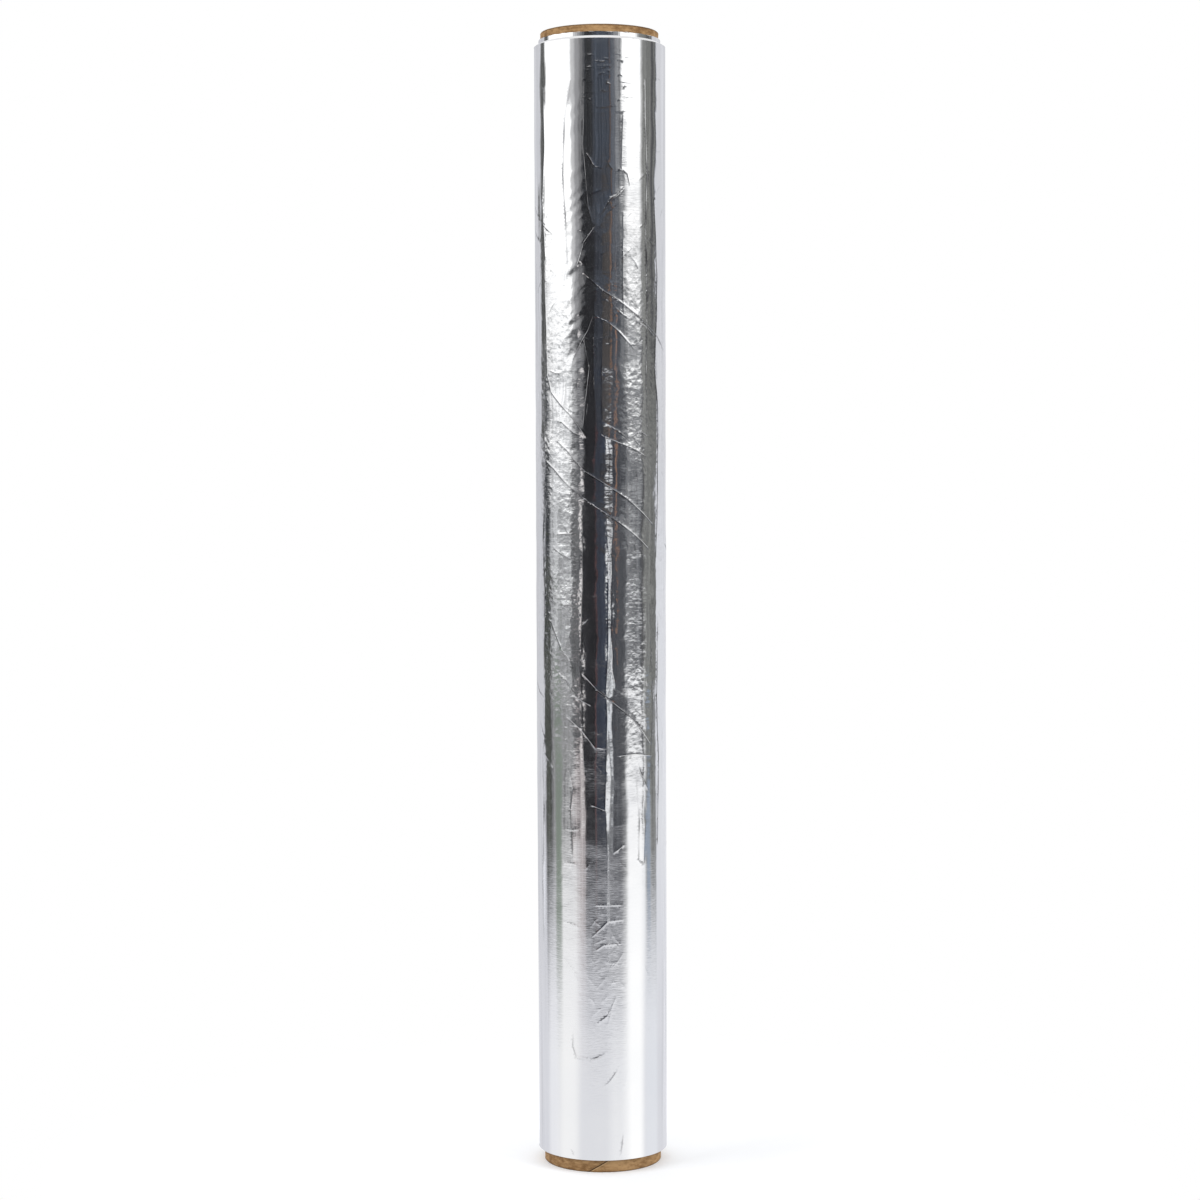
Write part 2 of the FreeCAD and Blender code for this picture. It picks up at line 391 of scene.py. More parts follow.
# crest lines of the creases as strength, then azimuth and height of each point
slantingCreases = [
    (1.0, (-15, 242), (1.5, 237.5), (19.5, 234), (37, 230), (59, 225.5), (73.5, 222)),
    (0.5, (13.5, 232.5), (24, 230)),
    (0.8, (-4.5, 230.5), (7, 229), (16, 226.5), (30, 222)),
    (0.75, (-5.5, 231), (-10.5, 226.8), (-18, 223), (-26, 218.4)),
    (0.7, (-3.5, 254.5), (-14, 250), (-20.5, 243.5)),
    (0.6, (29.5, 229.5), (44, 228), (58, 224.5)),
    (0.9, (-54, 215), (-49, 210.6), (-38, 207.3), (-24.5, 203.5), (-12.5, 198.2)),
    (0.4, (-33, 206.5), (-23.5, 205)),
    (0.6, (-45, 203), (-36.5, 202.5), (-26, 200), (-11, 198)),
    (0.6, (-1, 203), (8, 201.5), (15.5, 200), (22, 198.5)),
    (0.8, (1, 199), (12, 197.5), (24, 196), (36.5, 194.5), (44, 193)),
    (1.0, (-42, 197.5), (-31, 195), (-14.5, 189.5), (6.5, 185.5), (23.5, 182), (36.5, 179), (52, 175)),
    (1.0, (-60.5, 193), (-45.5, 190), (-31, 186), (-14.5, 182), (7.5, 177.5), (28.5, 173), (47, 168.5)),
    (0.5, (-46.5, 168.8), (-37, 167.2), (-25, 165.4)),
    (1.0, (-17.5, 135.5), (-4, 131), (12.5, 127), (30.5, 122.5), (48, 116)),
    (0.7, (-41, 135), (-32, 133.4), (-25.5, 129.7), (-20, 128.4), (-9, 126.6)),
    (0.6, (-33.5, 124), (-17.5, 120), (-5, 115)),
    (0.6, (-62.5, 150.3), (-49.5, 148.8), (-37.5, 142), (-28.5, 138.8), (-20, 128.7)),
    (0.6, (-71.5, 123), (-60.5, 117.2), (-64, 113.8), (-48, 109.4)),
    (0.4, (-60.5, 117.2), (-50, 117.2)),
    (0.7, (-10, 100), (4, 98.4)),
    (0.5, (33, 111), (38, 107), (48.5, 101.5)),
    (0.5, (9.5, 86.8), (20, 89.1)),
    (0.32, (-9.5, 64.2), (-4, 65.8), (5, 68.5), (20, 68.9)),
    (0.3, (-37, 58.2), (-25, 54.2), (-22.5, 52)),
    (0.25, (12, 47.9), (4.5, 43.1), (-5, 40.9)),
    (0.2, (9, 46.3), (4.5, 40.3)),
    (0.42, (-26, 39.5), (-27, 34.5), (-23.5, 31.4), (-10, 31.1), (3, 32.7)),
    (0.25, (13.5, 28.3), (6, 25.1), (-0.5, 23.5)),
    (0.42, (18.5, 10.7), (16, 4.5)),
    (0.4, (-29, 6.4), (-25.5, 4.5)),
]
levelCreases = [
    (0.25, (-12.5, 298.6), (-4, 298.8)),
    (0.2, (-12.5, 296), (3, 296.3), (19, 296.1)),
    (0.16, (-13, 289.6), (-2, 289.2), (9, 289.8)),
    (0.14, (-11, 284.2), (4, 283.8)),
    (0.5, (8.5, 260.5), (21.5, 264)),
    (0.75, (1, 257.3), (8.5, 261.6), (14, 262.4), (21, 264.8)),
    (0.75, (-11.5, 273.7), (-4.5, 270), (2.5, 269.4)),
    (0.5, (-9, 262.6), (-3, 263.4), (1.5, 263.7)),
    (0.5, (5, 272.5), (8, 270.5), (11.5, 269)),
    (0.85, (16, 269.3), (21, 269), (24.5, 268), (27, 264.8)),
    (0.4, (36.5, 254), (41, 255.3)),
    (0.5, (42, 252.5), (54.5, 249.5)),
    (0.4, (-52.5, 216.5), (-43.5, 215.6), (-35, 215.4)),
    (0.5, (24, 197.6), (36, 200.3), (55, 197.1)),
    (0.6, (-42.5, 172.5), (-20.5, 172.9)),
    (0.5, (12, 113), (30, 113.5), (51.5, 112.5)),
    (0.26, (-6.5, 72.8), (19, 72.9)),
    (0.28, (-5.5, 60.7), (0.5, 62), (16.5, 62.4)),
    (0.28, (-36.5, 67.9), (-26.5, 67.4), (-21.5, 66.7)),
    (0.4, (-35.5, 84), (-23.5, 84)),
    (0.2, (9.5, 94.1), (19.5, 94.5)),
]
uprightCreases = [
    (0.8, (-12.5, 225.4), (-14, 224), (-11.5, 219.4), (-9.5, 217.2), (-13, 208.2), (-15.5, 201)),
    (0.8, (-26, 293), (-31.5, 282), (-33.5, 268), (-30.5, 255), (-29, 243.3)),
    (0.5, (-13, 292), (-14.5, 276), (-10, 259.5), (-6, 254.2), (-15, 248)),
    (0.4, (21, 285), (19, 270), (22.5, 266.4)),
    (0.9, (43, 293.6), (43.5, 281), (45.5, 268.4), (43.5, 255), (45, 236.5), (44, 214), (45, 200)),
    (0.7, (-57, 240), (-55, 226), (-54, 215)),
    (0.9, (-58, 292), (-56.5, 276), (-60, 262), (-56, 246)),
    (0.8, (-60, 208), (-57.5, 190), (-62, 171), (-59, 152), (-61, 132)),
    (0.6, (-66, 118), (-63, 98), (-66, 78), (-64, 60)),
    (1.0, (55, 262), (59.5, 242), (58, 229), (55, 217), (59.5, 206), (60, 183), (57, 166)),
    (0.9, (60, 150), (58, 128), (61, 112), (59, 88)),
    (0.5, (20.5, 258), (20, 240), (21, 226)),
    (0.5, (-5, 235), (-6, 217), (-4.5, 203)),
    (0.4, (2, 228), (1, 210), (2.5, 196)),
    (0.4, (38.5, 203), (37.5, 195.5)),
    (0.4, (5, 178.5), (6.5, 165.7), (6, 141.6), (4, 131), (5, 123.4), (3, 98.7), (5, 88), (4.5, 76)),
    (0.5, (9.5, 176), (9, 158), (8.5, 149.6), (10, 136.3), (13, 129.8)),
    (0.9, (-16, 181), (-16, 158), (-17.5, 147), (-18, 128.7), (-16.5, 118), (-15, 107)),
    (0.5, (47.5, 157.4), (50.5, 135.8), (52.5, 127), (50, 114), (46.5, 103.4)),
    (0.5, (31.5, 109), (35, 96.6), (34.5, 84.7), (39.5, 83.5), (40.5, 92.7), (44.5, 100.2)),
    (0.75, (-30, 109.2), (-26, 103.9), (-28.5, 98.5), (-27, 91), (-26, 82.3)),
    (0.5, (-8.5, 63.5), (-8, 58.8), (-7.5, 56)),
    (0.3, (40, 55.8), (44, 53.2)),
    (0.4, (-10.5, 224), (-8, 217), (-10.5, 209.5), (-12.5, 203)),
]


def plainRadius(height):
    share = (height - foilBottom) / foilWidth
    return coreRadius + foil["buildBottom"] + (foil["buildTop"] - foil["buildBottom"]) * share


def unrolled(azimuth, height):
    # place on the flat sheet, counted from its free edge
    return (sheetRadius * math.radians((azimuth - foil["tail"]) % 360), height)


def backCreases():
    # the sides away from the front get creases of the same kind, all of them slanting the same way
    draw = random.Random(foil["seed"])
    creases = []
    for index in range(foil["backCreases"]):
        azimuth = draw.uniform(72, 150) if index % 2 else draw.uniform(186, 270)
        height = draw.uniform(25, 290)
        slant = -0.24 + draw.uniform(-0.12, 0.10)
        line = [(azimuth, height)]
        for _ in range(draw.randint(1, 4)):
            step = draw.uniform(6, 14)
            azimuth += step
            height += step * slant + draw.uniform(-0.8, 0.8)
            line.append((azimuth, height))
        creases.append((draw.uniform(0.3, 1.0), *line))
    return creases


def fineWrinkles():
    # short faint wrinkles all over, level or slanting, most of them at the middle of the roll's height
    draw = random.Random(foil["seed"] + 2)
    wrinkles = []
    for _ in range(foil["fineWrinkles"]):
        azimuth = draw.uniform(foil["tail"] - 350, foil["tail"] - 10)
        height = draw.triangular(14, 298, 175)
        slant = draw.choice((0.0, 0.0, -0.28, -0.34, 0.30, 1.4)) + draw.uniform(-0.08, 0.08)
        length = draw.uniform(1.2, 5.0)
        turn = length / math.hypot(sheetRadius * math.radians(1), slant)
        bend = draw.uniform(-0.5, 0.5)
        middle = (azimuth + turn / 2, height + turn / 2 * slant + bend)
        strength = draw.uniform(0.10, 0.40) * min(1.0, max(0.3, (height - 30) / 90))
        wrinkles.append((strength, (azimuth, height), middle, (azimuth + turn, height + turn * slant)))
    return [line for line in wrinkles if all(foilBottom + 1 < spot[1] < foilTop - 1 for spot in line[1:])]


# where more short wrinkles lie: from and to azimuth, from and to height, number, most strength
# and steepness
wrinklePatches = [
    (-15, 21, 284, 301, 44, 0.50, 0.15),
    (-22, 4, 222, 264, 36, 0.36, 1.0),
    (-60, -50, 100, 296, 40, 0.40, 1.0),
    (42, 62, 150, 296, 50, 0.34, 1.0),
    (-6, 24, 180, 262, 30, 0.26, 0.8),
    (-14, 16, 44, 72, 26, 0.15, 1.0),
]


def patchWrinkles():
    draw = random.Random(foil["seed"] + 3)
    wrinkles = []
    for left, right, low, high, count, most, steepness in wrinklePatches:
        for _ in range(count):
            azimuth, height = draw.uniform(left, right), draw.uniform(low, high)
            slant = steepness * draw.choice((0.0, 0.1, -0.3, 0.35)) + draw.uniform(-0.04, 0.04)
            turn = draw.uniform(3, 12)
            middle = (azimuth + turn / 2, height + turn / 2 * slant + draw.uniform(-0.4, 0.4))
            end = (azimuth + turn, height + turn * slant)
            wrinkles.append((draw.uniform(0.3, 1.0) * most, (azimuth, height), middle, end))
    return [line for line in wrinkles if all(spot[1] < foilTop - 1 for spot in line[1:])]


def crestLines():
    # each crease as strength and points on the flat sheet, cut into short steps
    lines = []
    creases = slantingCreases + levelCreases + uprightCreases + backCreases()
    creases += fineWrinkles() + patchWrinkles()
    for strength, *points in creases:
        flat = [unrolled(azimuth, height) for azimuth, height in points]
        # a line that would cross the free edge is left out
        if any(abs(b[0] - a[0]) > fullTurn / 2 for a, b in zip(flat, flat[1:])):
            continue
        line = [flat[0]]
        for start, end in zip(flat, flat[1:]):
            steps = max(1, round(math.dist(start, end) / foil["crestMesh"]))
            for step in range(1, steps + 1):
                share = step / steps
                x = start[0] + (end[0] - start[0]) * share
                line.append((x, start[1] + (end[1] - start[1]) * share))
        lines.append((strength, line))
    return lines


def creaseRelief(spots, lines):
    # height that the creases add: a sharp fold, and slack foil that slopes away on one side of it.
    # The steep side and its foot get a painted shade
    relief = np.zeros(len(spots))
    shade = np.zeros(len(spots))
    tip, wave = foil["foldTip"], foil["foldWaveShare"]
    dark, faint = foil["footShade"]
    for strength, line in lines:
        narrow = 0.45 + 0.55 * strength
        reach = 4.5 * foil["slackSide"] * narrow
        points = np.array(line)
        low, high = points.min(axis=0) - reach, points.max(axis=0) + reach
        near = np.where(np.all((spots > low) & (spots < high), axis=1))[0]
        if not len(near):
            continue
        place = spots[near]
        best = np.full(len(near), 1e9)
        side = np.zeros(len(near))
        along = np.zeros(len(near))
        for index in range(0, len(points) - 1):
            start, step = points[index], points[index + 1] - points[index]
            share = np.clip(((place - start) @ step) / (step @ step), 0, 1)
            gap = place - start - share[:, None] * step
            distance = np.hypot(gap[:, 0], gap[:, 1])
            closer = distance < best
            best[closer] = distance[closer]
            turn = step[0] * gap[:, 1] - step[1] * gap[:, 0]
            side[closer] = np.sign(np.round(turn[closer], 2))
            along[closer] = (index + share[closer]) / (len(points) - 1)
        fade = strength * np.sin(math.pi * (tip + (1 - 2 * tip) * along)) ** 0.7
        length = len(points) * foil["crestMesh"]
        fade *= 1 - wave + wave * np.sin(2 * math.pi * along * length / foil["foldWave"] + length)
        slack = foil["slackHeight"] * strength ** 0.6
        drop = (foil["foldHeight"] + slack) * np.maximum(0.0, 1 - best / foil["dropSide"])
        slope = foil["foldHeight"] * np.exp(-best / foil["foldSide"])
        slope += slack * np.exp(-best / (foil["slackSide"] * narrow))
        relief[near] += fade * np.where(side > 0, slope, drop)
        # painted shade at the foot of the steep side, stored as foldShade
        foot = fade * np.exp(-((best - foil["dropSide"]) / foil["footWidth"]) ** 2) * (side <= 0)
        shade[near] = np.maximum(shade[near], np.clip(dark * foot - faint, 0, 1))
    return relief, shade


# unevenness of the outermost turn: wave length around and up, and height
ripples = [
    (24.0, 85.0, 0.15),
    (8.5, 16.0, 0.095),
    (4.2, 5.5, 0.050),
    (2.3, 2.2, 0.014),
]
# share of the smaller waves at some heights, and the upright bands at both sides where they stay strong
rippleCalm = {
    "heights": (70, 128, 235, 270),
    "shares": (0.1, 1, 1, 0.35),
    "bandFrom": (100, 200),
    "bandAzimuth": 60,
    "bandWidth": 8,
    "bandShare": 1.2,
}

# blisters and dents of the outermost turn: azimuth, height, half its turn, half its height, and rise
blisters = [
    (-74, 267, 8, 22, 0.06),
    (-71, 259, 5, 10, 0.10),
    (-4, 262, 13, 7, -0.06),
    (38, 92, 5, 9, 0.07),
    (-22, 262, 9, 28, 0.05),
    (58, 208, 6, 22, 0.14),
    (56, 152, 5, 18, 0.10),
    (-61, 136, 6, 26, 0.10),
    (13, 262, 7, 9, 0.04),
    (128, 236, 9, 20, 0.14),
    (214, 150, 8, 26, 0.12),
]


def rippleRelief(points):
    # the smaller waves are weaker near both ends, where the foil is wound tight
    total = np.zeros(len(points))
    calm = np.interp(points[:, 2], rippleCalm["heights"], rippleCalm["shares"])
    turn = np.degrees(np.abs(np.arctan2(points[:, 0], -points[:, 1])))
    high = np.interp(points[:, 2], rippleCalm["bandFrom"], (0, 1))
    band = np.exp(-((turn - rippleCalm["bandAzimuth"]) / rippleCalm["bandWidth"]) ** 2)
    calm = np.maximum(calm, rippleCalm["bandShare"] * high * band)
    for index, (around, up, height) in enumerate(ripples):
        shift = 37.1 * (index + 1)
        scaled = points / (around, around, up) + (shift, 0, 0)
        waves = np.array([noise.noise(Vector(place)) for place in scaled])
        total += height * waves * (calm if index > 0 else 1)
    return total


# soft slanting strokes left of the front's middle: azimuth, height, half their reach each way,
# angle, wave lengths across and along, and height
strokes = {
    "middle": (-21, 247),
    "reach": (13, 52),
    "angle": 38,
    "across": 1.5,
    "along": 7.0,
    "height": 0.075,
}


def strokeRelief(azimuth, height):
    turn = (azimuth - strokes["middle"][0] + 180) % 360 - 180
    away = (turn / strokes["reach"][0]) ** 2 + ((height - strokes["middle"][1]) / strokes["reach"][1]) ** 2
    total = np.zeros(len(azimuth))
    angle = math.radians(strokes["angle"])
    for index in np.where(away < 1)[0]:
        right = sheetRadius * math.radians(turn[index])
        across = (height[index] * math.cos(angle) - right * math.sin(angle)) / strokes["across"]
        along = (height[index] * math.sin(angle) + right * math.cos(angle)) / strokes["along"]
        total[index] = strokes["height"] * (1 - away[index]) * noise.noise(Vector((across, along, 5.5)))
    return total


def blisterRelief(azimuth, height):
    total = np.zeros(len(azimuth))
    for middle, level, halfTurn, halfHeight, rise in blisters:
        turn = (azimuth - middle + 180) % 360 - 180
        total += rise * np.maximum(0.0, 1 - (turn / halfTurn) ** 2 - ((height - level) / halfHeight) ** 2)
    return total


def tailLift(azimuth):
    # the last quarter turn of the sheet leaves the roll towards its free edge
    past = azimuth - foil["tail"]
    return foil["tailStep"] * max(0.0, math.cos(math.radians(min(past, 90.0))))


def sheetSpots(lines):
    # mesh points on the flat sheet: the border, the crests with rows beside them, and a loose grid
    length = sheetRadius * math.radians(360 + foil["underlap"])
    size = foil["backMesh"]
    across, up = round(length / size), round(foilWidth / size)
    border = [(length * i / across, foilBottom) for i in range(across)]
    border += [(length, foilBottom + foilWidth * i / up) for i in range(up)]
    border += [(length * (1 - i / across), foilTop) for i in range(across)]
    border += [(0, foilTop - foilWidth * i / up) for i in range(up)]
    spots = list(border)
    for gap in foil["edgeRows"]:
        spots += [(fullTurn - gap, foilBottom + foilWidth * (i + 0.5) / up) for i in range(up)]
    edges = [(i, (i + 1) % len(border)) for i in range(len(border))]
    for _, line in lines:
        first = len(spots)
        spots += line
        edges += [(first + i, first + i + 1) for i in range(len(line) - 1)]
        for index in range(len(line) - 1):
            (x, z), (nextX, nextZ) = line[index], line[index + 1]
            gap = math.dist(line[index], line[index + 1])
            sideways = (-(nextZ - z) / gap, (nextX - x) / gap)
            middle = ((x + nextX) / 2, (z + nextZ) / 2)
            for offset in foil["crestRows"]:
                extra = (middle[0] + sideways[0] * offset, middle[1] + sideways[1] * offset)
                inside = 0.5 < extra[0] < length - 0.5 and foilBottom + 0.5 < extra[1] < foilTop - 0.5
                if inside and (abs(offset) < 0.3 or index % 2):
                    spots.append(extra)
    tree = kdtree.KDTree(len(spots))
    for index, (x, z) in enumerate(spots):
        tree.insert((x, z, 0), index)
    tree.balance()
    draw = random.Random(foil["seed"] + 1)
    frontFrom, frontTo = (sheetRadius * math.radians(angle + 360 - foil["tail"]) for angle in (-98, 98))
    back, front, shift = foil["backMesh"], foil["frontMesh"], foil["gridShift"]
    zones = [(0.0, frontFrom, back), (frontFrom, frontTo, front), (frontTo, length, back)]
    for left, right, size in zones:
        for row in range(1, round(foilWidth / size)):
            for column in range(1, round((right - left) / size) + 1):
                x = left + size * (column - 0.5 + 0.5 * (row % 2) + draw.uniform(-shift, shift))
                z = foilBottom + size * (row + draw.uniform(-shift, shift))
                inside = left < x < min(right, length - 0.5 * size) and z < foilTop - 0.5 * size
                if inside and tree.find((x, z, 0))[2] > foil["gridGap"] * size:
                    spots.append((x, z))
    return spots, edges


# heights and widths in metres, textures as scale, detail and roughness
foilLook = {
    "pebbled": (0.119, 0.240, 0.028),
    "grained": (0.115, 0.215, 0.03),
    "sides": (0.002, 0.009),
    "patches": (60, 2, 0.5),
    "pebbleScale": 800,
    "soft": (900, 2.5, 0.55),
    "grain": (330, 2.5, 0.55),
    "fine": (520, 2, 0.5),
    "bump": 0.00009,
    "roughness": 0.055,
    "dull": (0.885, 0.89, 0.90, 1),
    "bright": (0.915, 0.917, 0.92, 1),
    # colour and share of the painted shade along the folds
    "foldDark": (0.07, 0.07, 0.08, 1),
    "foldShare": 0.9,
}


def foilMaterial():
    # halfway up the roll is pebbled, most of all at its sides, and has a stronger level grain
    material, start = newMaterial("foil")
    place = start.node("ShaderNodeTexCoord", None, None, out=3)
    x, y, z = place.parts()
    middle = z.between(*foilLook["pebbled"])
    sides = start.maths("ABSOLUTE", x).rise(*foilLook["sides"])
    patches = place.speckle(*foilLook["patches"])
    dimpled = middle * (0.3 + 0.7 * sides) * patches.rise(0.30, 0.60)
    pebble = place.node("ShaderNodeTexVoronoi", {"feature": "SMOOTH_F1"}, {
        "Vector": place.stretched(1, 1, 0.9), "Scale": foilLook["pebbleScale"],
        "Smoothness": 0.6, "Randomness": 1.0})
    soft = place.speckle(*foilLook["soft"])
    grain = place.stretched(1, 1, 3).speckle(*foilLook["grain"])
    fine = place.stretched(1, 1, 6).speckle(*foilLook["fine"])
    grained = z.between(*foilLook["grained"])
    height = (0.52 * pebble + 0.54 * soft) * (0.04 + 0.96 * dimpled)
    height = height + (0.03 + 0.19 * grained) * grain + 0.048 * fine
    bumped = start.node("ShaderNodeBump", None, {
        "Strength": 1.0, "Distance": foilLook["bump"], "Height": height})
    roughness = foilLook["roughness"] + 0.05 * patches + 0.03 * dimpled
    colour = patches.rise(0.3, 0.7).blend(foilLook["dull"], foilLook["bright"])
    # painted shade along the folds and the free edge darkens the base colour
    shade = start.node("ShaderNodeAttribute", {"attribute_name": "foldShade"}, None, out=2)
    colour = (shade * foilLook["foldShare"]).blend(colour, foilLook["foldDark"])
    metal = start.node("ShaderNodeBsdfPrincipled", None, {
        "Base Color": colour, "Metallic": 1.0, "Roughness": roughness, "Normal": bumped})
    finishMaterial(start, metal)
    return material


def makeSheet(material):
    # the outermost turn, a thin sheet with its free edge at the back
    lines = crestLines()
    spots, edges = sheetSpots(lines)
    flat, _, faces, *_ = delaunay_2d_cdt([Vector(spot) for spot in spots], edges, [], 0, 1e-4)
    place = np.array([(spot.x, spot.y) for spot in flat])
    azimuth = np.degrees(place[:, 0] / sheetRadius) + foil["tail"]
    base = np.array([plainRadius(height) for height in place[:, 1]])
    angle = np.radians(azimuth)
    solid = np.stack([base * np.sin(angle), -base * np.cos(angle), place[:, 1]], axis=1)
    lift = np.array([tailLift(a) for a in azimuth])
    relief, shade = creaseRelief(place, lines)
    # a painted shade darkens the turn below along the free edge
    beside = np.exp(-((fullTurn - place[:, 0]) / foil["edgeShadeWidth"]) ** 2)
    shade = np.maximum(shade, foil["edgeShade"] * beside)
    radius = base - foil["inset"] + lift + relief + rippleRelief(solid)
    radius += blisterRelief(azimuth, place[:, 1]) + strokeRelief(azimuth, place[:, 1])
    points = np.stack([radius * np.sin(angle), -radius * np.cos(angle), place[:, 1]], axis=1)
    made = addObject("foil_outer_turn", points.tolist(), faces, material)
    made.data.set_sharp_from_angle(angle=foil["sharpFrom"])
    made.data.attributes.new("foldShade", "FLOAT", "POINT").data.foreach_set("value", shade)
    print("outer turn:", len(points), "points,", len(faces), "triangles")
    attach(made, "root")
    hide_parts("foil_roll")


ends = {
    "turns": 26,
    "stepsPerTurn": 160,
    "inset": 0.05,
    "gapDepth": 0.035,
    "clearance": 0.08,
    "uneven": 0.05,
    "ragged": 0.22,
    "sway": 0.03,
}


def makeTurnEnds(name, material, edge, direction):
    # the edges of all turns at one end, as one spiral that winds inward. direction is 1 at the top
    outside = plainRadius(edge) - ends["inset"]
    inside = coreRadius + ends["clearance"]
    pitch = (outside - inside) / ends["turns"]
    collar = coreRadius + foil["collarBuild"]
    points, faces = [], []
    # points of a turn's edge: offset from its middle in turns, and whether it lies in the gap beside it
    section = ((0.42, True), (0.34, False), (-0.24, False), (-0.32, True), (-0.58, True))
    steps = ends["turns"] * ends["stepsPerTurn"]
    for step in range(steps + 1):
        turn = step / ends["stepsPerTurn"]
        azimuth = foil["tail"] + 360 * turn
        middle = outside - pitch * (turn + 0.5)
        firstCollarTurn = middle < collar <= middle + pitch
        wobble = ends["uneven"] * noise.noise(Vector((turn * 2.3, middle * 7.0, edge)))
        if middle < collar:
            middle += ends["sway"] * noise.noise(Vector((azimuth / 14, 0, edge)))
            wobble += ends["ragged"] * noise.noise(Vector((azimuth / 5.5, middle * 5, edge)))
        for number, (offset, inGap) in enumerate(section):
            radius = middle + offset * pitch
            run = min(1.0, max(0.0, (outside - radius) / (outside - collar)))
            rise = foil["bevelRise"] * run + (foil["collarRise"] if middle < collar else 0.0)
            height = edge + rise + wobble - (direction * ends["gapDepth"] if inGap else 0.0)
            if number == 0 and (step == 0 or firstCollarTurn):
                height = edge - direction * 1.0
            points.append(polar(azimuth, radius, height))
    row = len(section)
    for step in range(steps):
        for column in range(row - 1):
            corner = step * row + column
            face = (corner, corner + 1, corner + row + 1, corner + row)
            faces.append(face if direction > 0 else face[::-1])
    made = addObject(name, points, faces, material, smooth=False)
    print(name + ":", len(faces), "faces")
    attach(made, "root")


# Cardboard core

core = {
    "wall": 1.5,
    "plies": 8,
    "lead": 58.0,
    "seamAzimuth": -15.2,
    "seamDepth": 0.16,
    "seamWidth": 0.16,
    "lipDepth": 0.05,
    "lipPlace": 0.45,
    "lipWidth": 0.35,
    "innerSeamTurn": 120,
    "innerSeamRise": 0.10,
    "innerSeamWidth": 0.2,
    "plyDip": 0.05,
    "around": 300,
    "fineRow": 0.14,
    "coarseRow": 6.0,
    "shown": 6.0,
    "softEdge": 0.28,
}


def seamLean():
    return math.atan2(core["lead"], 2 * math.pi * coreRadius)


def seamDistance(azimuth, height):
    # signed distance across the sheet from the spiral seam of the outer ply
    turn = (azimuth - core["seamAzimuth"] - 360 * height / core["lead"] + 180) % 360 - 180
    return coreRadius * math.radians(turn) * math.sin(seamLean())


def rimSpot(share):
    # a spot on a cut end as radius and depth under the end, at a share of the wall from the outside
    edge = min(share, 1 - share) * core["wall"]
    bend = 1 - min(1.0, edge / core["softEdge"])
    drop = core["softEdge"] * (1 - math.sqrt(max(0.0, 1 - bend ** 2)))
    return coreRadius - share * core["wall"], drop


def coreProfile():
    # once round the wall's section, as radius, height and face, with short rows where the tube shows
    inner = coreRadius - core["wall"]
    soft = core["softEdge"]
    shown = core["shown"]
    heights = [soft + i * core["fineRow"] for i in range(int(shown / core["fineRow"]))]
    rows = int((coreLength - 2 * shown) / core["coarseRow"])
    middle = [shown + 1 + i * core["coarseRow"] for i in range(rows)]
    outer = heights + middle + [coreLength - height for height in reversed(heights)]
    profile = [(coreRadius, height, "outer") for height in outer]
    rim = core["plies"] * 3
    top = [rimSpot(index / rim) for index in range(rim + 1)]
    bottom = [rimSpot(1 - index / rim) for index in range(rim + 1)]
    profile += [(radius, coreLength - drop, "rim") for radius, drop in top]
    profile += [(inner, height, "inner") for height in reversed(outer)]
    profile += [(radius, drop, "rim") for radius, drop in bottom]
    return profile


def corePoint(azimuth, radius, height, face):
    soft = noise.noise(Vector((azimuth / 9, height / 3, radius * 2)))
    if face == "outer":
        across = seamDistance(azimuth, height)
        radius -= core["seamDepth"] * math.exp(-(across / core["seamWidth"]) ** 2)
        if across > 0:
            radius -= core["lipDepth"] * math.exp(-((across - core["lipPlace"]) / core["lipWidth"]) ** 2)
        radius += 0.012 * soft - 0.015
    elif face == "inner":
        across = seamDistance(azimuth + core["innerSeamTurn"], height)
        radius += core["innerSeamRise"] * math.exp(-(across / core["innerSeamWidth"]) ** 2)
    else:
        ply = (coreRadius - radius) / core["wall"] * core["plies"]
        dip = core["plyDip"] * (0.5 - 0.5 * math.cos(2 * math.pi * ply)) + 0.03 * (soft + 1)
        height += dip if height < coreLength / 2 else -dip
    return polar(azimuth, radius, height)


# heights and widths in metres, textures as scale, detail and roughness
boardLook = {
    "fibre": (620, 4, 0.65),
    "mottle": (170, 3.5, 0.62),
    "pulp": (3800, 2, 0.6),
    "dark": (0.175, 0.090, 0.032, 1),
    "light": (0.425, 0.262, 0.124, 1),
    "pulpDark": (0.13, 0.07, 0.03, 1),
    # colours of the painted shade beside the seam (besideSeam) and in its groove (seam)
    "besideSeam": (0.11, 0.06, 0.025, 1),
    "lip": (0.50, 0.33, 0.17, 1),
    "seam": (0.018, 0.010, 0.005, 1),
    "cutEnd": (0.09, 0.048, 0.019, 1),
    "cutEndWidth": 0.0006,
    # colour of the painted shade below the foil
    "underFoil": (0.05, 0.025, 0.010, 1),
    "underFoilHeights": (0.0032, 0.0065, 0.0003),
    "bump": 0.00010,
}


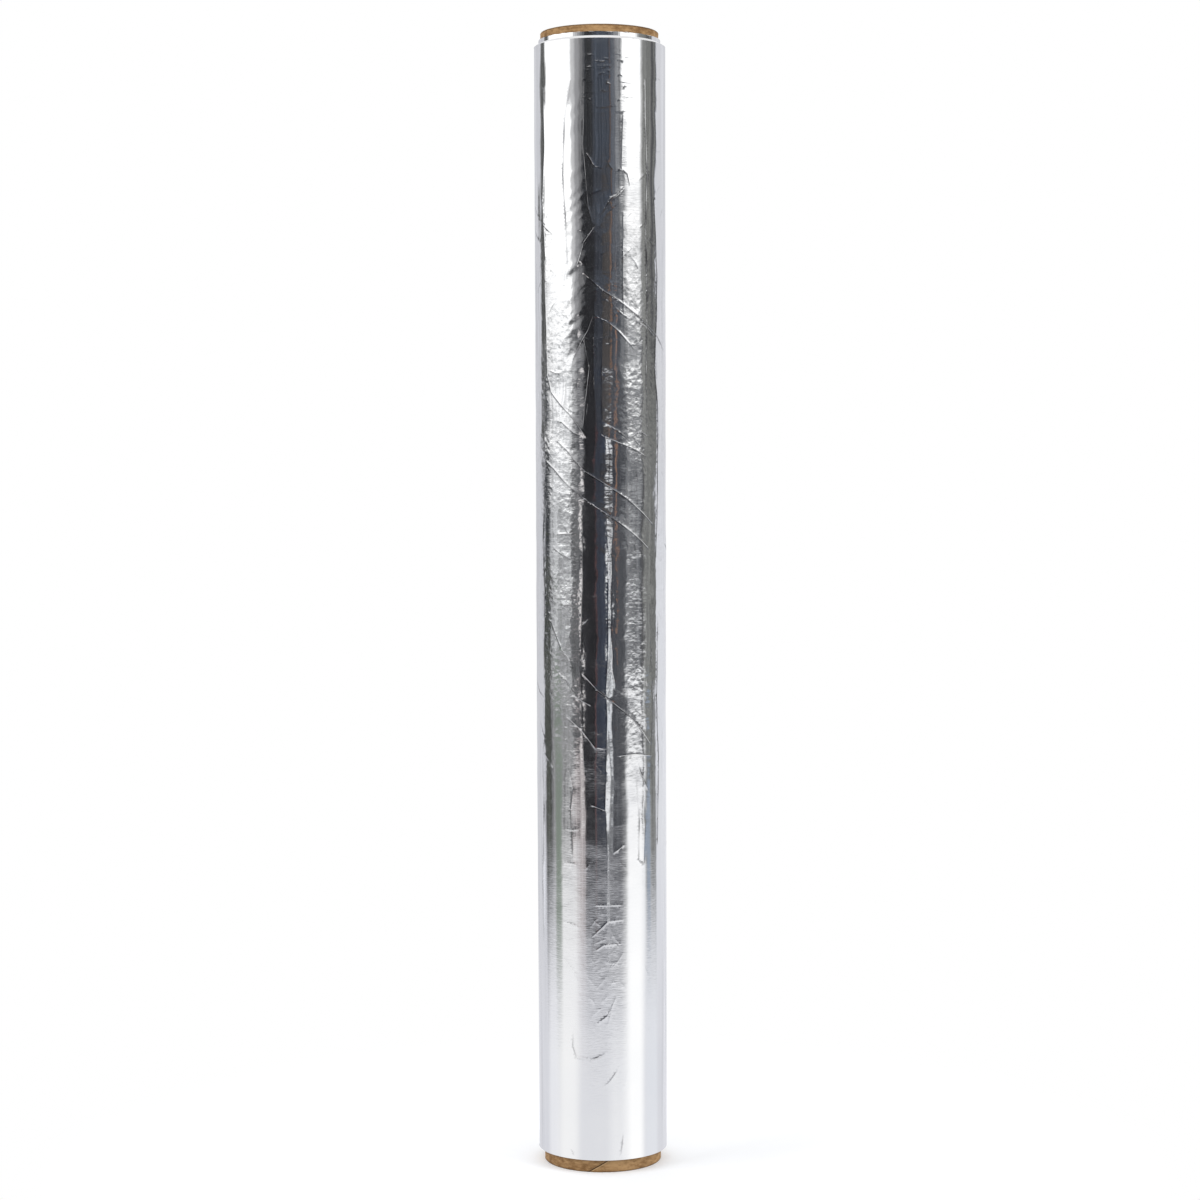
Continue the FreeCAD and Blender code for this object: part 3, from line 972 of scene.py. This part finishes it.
def cardboardMaterial():
    material, start = newMaterial("cardboard")
    place = start.node("ShaderNodeTexCoord", None, None, out=3)
    x, y, z = place.parts()
    fibre = place.stretched(1, 1, 2.6).speckle(*boardLook["fibre"])
    mottle = place.stretched(1, 1, 1.6).speckle(*boardLook["mottle"])
    pulp = place.speckle(*boardLook["pulp"])
    tone = (mottle * 0.55 + fibre * 0.45).rise(0.36, 0.64)
    brown = tone.blend(boardLook["dark"], boardLook["light"])
    brown = (pulp.rise(0.60, 0.72) * 0.35).blend(brown, boardLook["pulpDark"])
    # the open seam of the outer ply gets a painted shade in its groove, with a light lip, and a soft
    # painted shade on the board beside it
    radius = start.maths("SQRT", x * x + y * y)
    azimuth = start.maths("ARCTAN2", x, 0 - y) * (180 / math.pi)
    turn = azimuth - core["seamAzimuth"] - z * (360 / (core["lead"] * mm)) + 1.6 * (mottle - 0.5)
    turn = start.node("ShaderNodeMath", {"operation": "WRAP"}, {0: turn, 1: 180.0, 2: -180.0})
    across = start.maths("ABSOLUTE", turn) * (math.radians(1) * coreRadius * math.sin(seamLean()))
    outer = radius.rise((coreRadius - 0.7) * mm, (coreRadius - 0.4) * mm)
    brown = ((1 - across.rise(0.05, 0.9)) * 0.35 * outer).blend(brown, boardLook["besideSeam"])
    lip = across.rise(0.10, 0.22) * (1 - across.rise(0.30, 0.46)) * turn.rise(0.0, 0.4)
    brown = (lip * 0.7 * outer).blend(brown, boardLook["lip"])
    brown = ((1 - across.rise(0.04, 0.18)) * 0.95 * outer).blend(brown, boardLook["seam"])
    # both cut ends are darker at their edge, and a painted shade darkens the board just below the foil
    length = coreLength * mm
    ending = start.maths("MINIMUM", z, length - z)
    brown = ((1 - ending.rise(0.0, boardLook["cutEndWidth"])) * 0.7).blend(brown, boardLook["cutEnd"])
    # painted shade on the board just below the foil's lower edge
    paintedShade = z.between(*boardLook["underFoilHeights"])
    brown = (paintedShade * 0.6).blend(brown, boardLook["underFoil"])
    height = fibre * 0.6 + mottle * 0.6 + pulp * 0.3
    bumped = start.node("ShaderNodeBump", None, {
        "Strength": 1.0, "Distance": boardLook["bump"], "Height": height})
    board = start.node("ShaderNodeBsdfPrincipled", None, {
        "Base Color": brown, "Roughness": 0.72 + 0.16 * mottle, "Specular IOR Level": 0.3,
        "Normal": bumped})
    finishMaterial(start, board)
    return material


def makeCore(material):
    profile = coreProfile()
    points, faces = [], []
    around = core["around"]
    for index in range(around):
        azimuth = 360 * index / around
        points += [corePoint(azimuth, radius, height, face) for radius, height, face in profile]
    rows = len(profile)
    for index in range(around):
        here, beside = index * rows, (index + 1) % around * rows
        for row in range(rows):
            after = (row + 1) % rows
            faces.append((here + row, beside + row, beside + after, here + after))
    made = addObject("core_tube", points, faces, material)
    print("core:", len(faces), "faces")
    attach(made, "root")
    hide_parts("cardboard_core")


makeWorld()
makeFloor()
for name, place in studio["softboxes"].items():
    makeLamp(name, place, studio["softboxSize"], studio["softboxPower"])
makeCamera()
print("studio ready")
foilMetal = foilMaterial()
makeSheet(foilMetal)
makeTurnEnds("foil_turns_top", foilMetal, foilTop, 1)
makeTurnEnds("foil_turns_bottom", foilMetal, foilBottom, -1)
makeCore(cardboardMaterial())
bpy.context.scene.view_settings.view_transform = "Standard"
